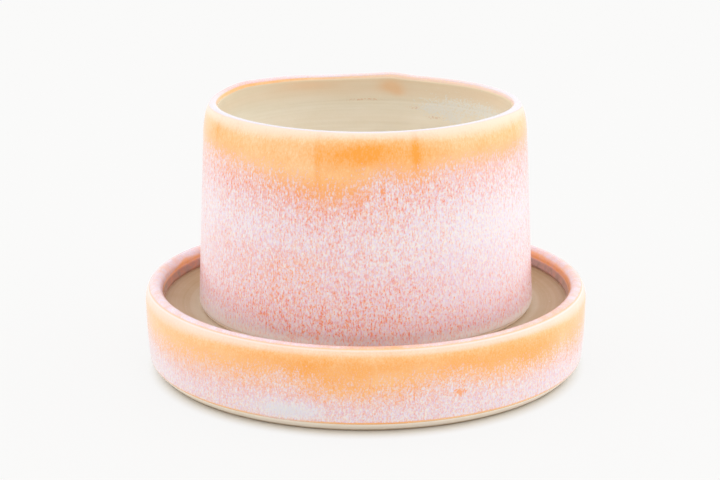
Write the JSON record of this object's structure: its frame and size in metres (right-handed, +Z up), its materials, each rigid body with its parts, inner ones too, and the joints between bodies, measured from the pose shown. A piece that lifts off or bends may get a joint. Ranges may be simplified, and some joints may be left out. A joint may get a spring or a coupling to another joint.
{
  "type": "plant pot",
  "caption": "Small glazed stoneware plant pot with a drain hole, standing loose in its own glazed saucer.",
  "frame": {"origin": "centre of the ring face that the saucer stands on", "axes": "+Z up along the turning axis; -Y is the side that faces the viewer"},
  "size_m": [0.1704, 0.1704, 0.1014],
  "materials": {
    "bare_stoneware": "bare fired clay, matt, with turning rings",
    "rutile_glaze": "glossy breaking glaze, honey orange at the edges and speckled pink and white below"
  },
  "bodies": {
    "saucer": {"saucer_body": "bare_stoneware", "saucer_glaze": "rutile_glaze"},
    "pot": {"pot_body": "bare_stoneware", "pot_glaze": "rutile_glaze"}
  },
  "joints": [
    {"name": "pot_lift", "type": "slide", "parent": "saucer", "child": "pot", "axis": [0, 0, 1], "range_m": [0, 0.05]}
  ]
}
